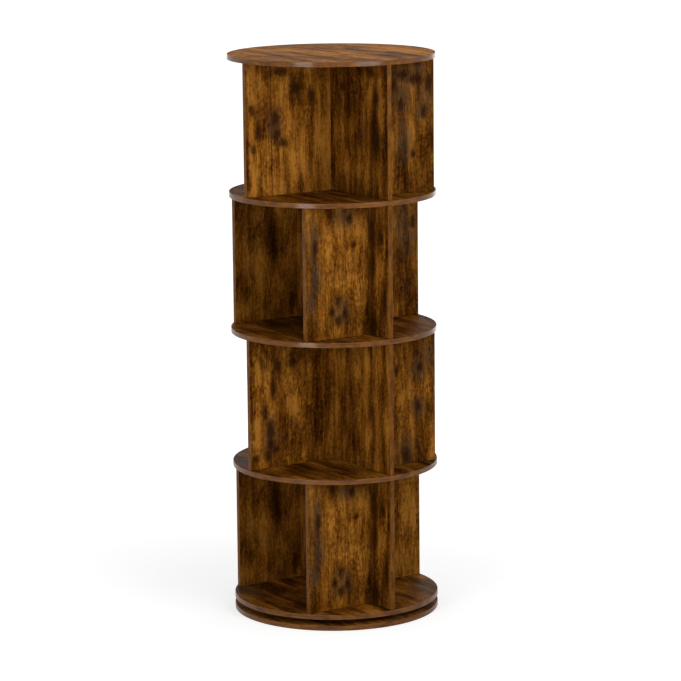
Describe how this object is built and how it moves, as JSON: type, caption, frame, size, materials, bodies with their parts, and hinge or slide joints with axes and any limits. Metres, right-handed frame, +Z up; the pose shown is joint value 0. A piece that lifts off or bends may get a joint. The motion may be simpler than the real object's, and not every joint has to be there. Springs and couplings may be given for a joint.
{
  "type": "rotating book tower",
  "caption": "Round rotating bookcase: open tiers with dividers and book bays between disc shelves, turning on a ball-bearing ring above a round base.",
  "frame": {"origin": "middle of the base disc's underside, on the floor", "axes": "+Z up along the turning axis; Y along the full-width dividers; the book bays of the second and fourth tier open towards +X"},
  "size_m": [0.5, 0.5, 1.363],
  "materials": {
    "board": "rustic brown melamine with light texture, banded edges",
    "turntable_aluminium": "mill finish",
    "cage_nylon": "natural nylon",
    "cam_zinc": "die-cast zinc",
    "bolt_steel": "zinc plated",
    "screw_steel": "zinc plated"
  },
  "bodies": {
    "base": {"base_disc": "board", "turntable_base_ring": "turntable_aluminium", "base_ring_screw_1": "screw_steel", "base_ring_screw_2": "screw_steel", "base_ring_screw_3": "screw_steel", "base_ring_screw_4": "screw_steel"},
    "ball_cage": {"turntable_ball_cage": "cage_nylon"},
    "tower": {"turntable_tower_ring": "turntable_aluminium", "tower_ring_screw_1": "screw_steel", "tower_ring_screw_2": "screw_steel", "tower_ring_screw_3": "screw_steel", "tower_ring_screw_4": "screw_steel", "bottom_shelf": "board", "bottom_shelf_bolt_front": "bolt_steel", "bottom_shelf_bolt_back": "bolt_steel", "shelf_1": "board", "shelf_1_bolt_front": "bolt_steel", "shelf_1_bolt_back": "bolt_steel", "shelf_2": "board", "shelf_2_bolt_front": "bolt_steel", "shelf_2_bolt_back": "bolt_steel", "shelf_3": "board", "shelf_3_bolt_front": "bolt_steel", "shelf_3_bolt_back": "bolt_steel", "top_disc": "board", "top_disc_bolt_front": "bolt_steel", "top_disc_bolt_back": "bolt_steel", "tier_1_divider": "board", "tier_1_half_panel": "board", "tier_1_side_panel_left": "board", "tier_1_side_panel_right": "board", "tier_1_cam_bottom_left": "cam_zinc", "tier_1_cam_bottom_right": "cam_zinc", "tier_1_cam_top_left": "cam_zinc", "tier_1_cam_top_right": "cam_zinc", "tier_2_divider": "board", "tier_2_half_panel": "board", "tier_2_side_panel_left": "board", "tier_2_side_panel_right": "board", "tier_2_cam_bottom_left": "cam_zinc", "tier_2_cam_bottom_right": "cam_zinc", "tier_2_cam_top_left": "cam_zinc", "tier_2_cam_top_right": "cam_zinc", "tier_3_divider": "board", "tier_3_half_panel": "board", "tier_3_side_panel_left": "board", "tier_3_side_panel_right": "board", "tier_3_cam_bottom_left": "cam_zinc", "tier_3_cam_bottom_right": "cam_zinc", "tier_3_cam_top_left": "cam_zinc", "tier_3_cam_top_right": "cam_zinc", "tier_4_divider": "board", "tier_4_half_panel": "board", "tier_4_side_panel_left": "board", "tier_4_side_panel_right": "board", "tier_4_cam_bottom_left": "cam_zinc", "tier_4_cam_bottom_right": "cam_zinc", "tier_4_cam_top_left": "cam_zinc", "tier_4_cam_top_right": "cam_zinc"}
  },
  "joints": [
    {"name": "tower_spin", "type": "hinge", "parent": "base", "child": "tower", "pos_m": [0, 0, 0.0195], "axis": [0, 0, 1], "continuous": true},
    {"name": "cage_roll", "type": "hinge", "parent": "base", "child": "ball_cage", "pos_m": [0, 0, 0.0195], "axis": [0, 0, 1], "continuous": true}
  ],
  "couplings": [
    {"joint": "cage_roll", "follows": "tower_spin", "ratio": 0.5}
  ]
}
